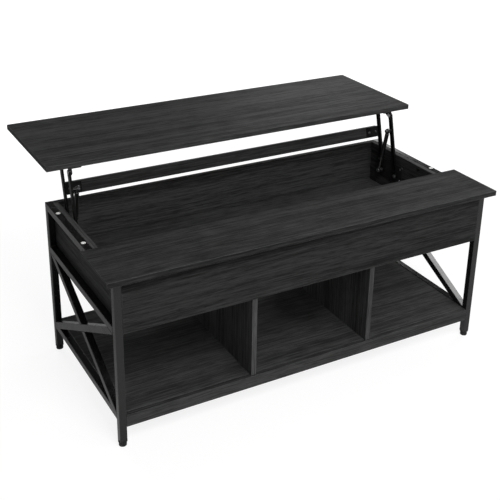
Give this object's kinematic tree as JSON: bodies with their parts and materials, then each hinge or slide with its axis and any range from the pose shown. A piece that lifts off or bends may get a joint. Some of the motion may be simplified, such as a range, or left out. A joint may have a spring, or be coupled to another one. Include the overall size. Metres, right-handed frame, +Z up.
{
  "type": "lift top coffee table",
  "caption": "Coffee table with a fixed front top, a rear top that lifts on parallel arms over a storage box, and an open shelf with X-braced steel ends.",
  "frame": {"origin": "on the floor, midway between the ends and midway between the fixed top's front edge and the lifted top's rear edge", "axes": "+X to the right along the table's length, +Y to the rear, +Z up; the front has the apron and the fixed top"},
  "size_m": [1.2, 0.807, 0.63],
  "materials": {
    "powder_coat": "satin black powder coat, fine texture",
    "board_long_grain": "charcoal wood-grain laminate, grain along the length",
    "board_upright_grain": "charcoal wood-grain laminate, grain upright",
    "bumper_rubber": "white rubber, matt",
    "foot_plastic": "black plastic, matt",
    "black_steel": "black e-coat, semi-gloss",
    "bright_steel": "zinc plated, bright",
    "polished_rod": "ground and polished",
    "strut_paint": "black gloss paint"
  },
  "bodies": {
    "frame": {"post_front_left": "powder_coat", "post_front_right": "powder_coat", "post_rear_left": "powder_coat", "post_rear_right": "powder_coat", "top_rail_left": "powder_coat", "top_rail_right": "powder_coat", "middle_rail_left": "powder_coat", "middle_rail_right": "powder_coat", "bottom_rail_left": "powder_coat", "bottom_rail_right": "powder_coat", "brace_long_left": "powder_coat", "brace_long_right": "powder_coat", "brace_upper_left": "powder_coat", "brace_upper_right": "powder_coat", "brace_lower_left": "powder_coat", "brace_lower_right": "powder_coat", "fixed_top": "board_long_grain", "front_apron": "board_long_grain", "side_panel_left": "board_long_grain", "side_panel_right": "board_long_grain", "back_panel": "board_long_grain", "box_floor": "board_long_grain", "divider_left": "board_upright_grain", "divider_right": "board_upright_grain", "shelf": "board_long_grain", "shelf_front_edge": "board_long_grain", "shelf_rear_edge": "board_long_grain", "bumpers": "bumper_rubber", "leg_inserts": "foot_plastic", "foot_front_left": "foot_plastic", "foot_front_right": "foot_plastic", "foot_rear_left": "foot_plastic", "foot_rear_right": "foot_plastic", "frame_bolts": "black_steel", "shelf_screws": "bright_steel", "base_bracket_left": "black_steel", "base_bracket_right": "black_steel", "base_pins": "bright_steel", "base_bracket_screws": "bright_steel"},
    "rear_arms": {"rear_arm_left": "black_steel", "rear_arm_right": "black_steel", "cross_board": "board_long_grain", "board_bracket_left": "black_steel", "board_bracket_right": "black_steel", "board_screws": "bright_steel", "board_rivets": "bright_steel"},
    "front_arm_left": {"front_arm_left": "black_steel"},
    "front_arm_right": {"front_arm_right": "black_steel"},
    "lifting_top": {"lift_top": "board_long_grain", "top_bracket_left": "black_steel", "top_bracket_right": "black_steel", "top_pins": "bright_steel", "top_bracket_screws": "bright_steel"},
    "strut_rod_left": {"strut_rod_left": "polished_rod"},
    "strut_rod_right": {"strut_rod_right": "polished_rod"},
    "strut_cylinder_left": {"strut_body_left": "strut_paint", "strut_bolt_left": "bright_steel"},
    "strut_cylinder_right": {"strut_body_right": "strut_paint", "strut_bolt_right": "bright_steel"}
  },
  "joints": [
    {"name": "lift", "type": "hinge", "parent": "frame", "child": "rear_arms", "pos_m": [0, 0.05383, 0.40576], "axis": [1, 0, 0], "range_deg": [0, 86.86]},
    {"name": "top_level", "type": "hinge", "parent": "rear_arms", "child": "lifting_top", "pos_m": [0, 0.1015, 0.6], "axis": [1, 0, 0], "range_deg": [-86.86, 0]},
    {"name": "front_arm_left_hinge", "type": "hinge", "parent": "frame", "child": "front_arm_left", "pos_m": [0, -0.01417, 0.40576], "axis": [1, 0, 0], "range_deg": [0, 86.86]},
    {"name": "front_arm_right_hinge", "type": "hinge", "parent": "frame", "child": "front_arm_right", "pos_m": [0, -0.01417, 0.40576], "axis": [1, 0, 0], "range_deg": [0, 86.86]},
    {"name": "strut_left_hinge", "type": "hinge", "parent": "frame", "child": "strut_rod_left", "pos_m": [0, 0.05383, 0.40576], "axis": [1, 0, 0], "range_deg": [0, 65.99]},
    {"name": "strut_left_slide", "type": "slide", "parent": "strut_rod_left", "child": "strut_cylinder_left", "axis": [0, -0.2133, 0.977], "range_m": [0, 0.06687]},
    {"name": "strut_right_hinge", "type": "hinge", "parent": "frame", "child": "strut_rod_right", "pos_m": [0, 0.05383, 0.40576], "axis": [1, 0, 0], "range_deg": [0, 65.99]},
    {"name": "strut_right_slide", "type": "slide", "parent": "strut_rod_right", "child": "strut_cylinder_right", "axis": [0, -0.2133, 0.977], "range_m": [0, 0.06687]}
  ],
  "couplings": [
    {"joint": "top_level", "follows": "lift", "ratio": -1},
    {"joint": "front_arm_left_hinge", "follows": "lift", "ratio": 1},
    {"joint": "front_arm_right_hinge", "follows": "lift", "ratio": 1},
    {"joint": "strut_left_hinge", "follows": "lift", "ratio": 0.75978},
    {"joint": "strut_left_slide", "follows": "lift", "m_per_rad": 0.044101},
    {"joint": "strut_right_hinge", "follows": "lift", "ratio": 0.75978},
    {"joint": "strut_right_slide", "follows": "lift", "m_per_rad": 0.044101}
  ]
}
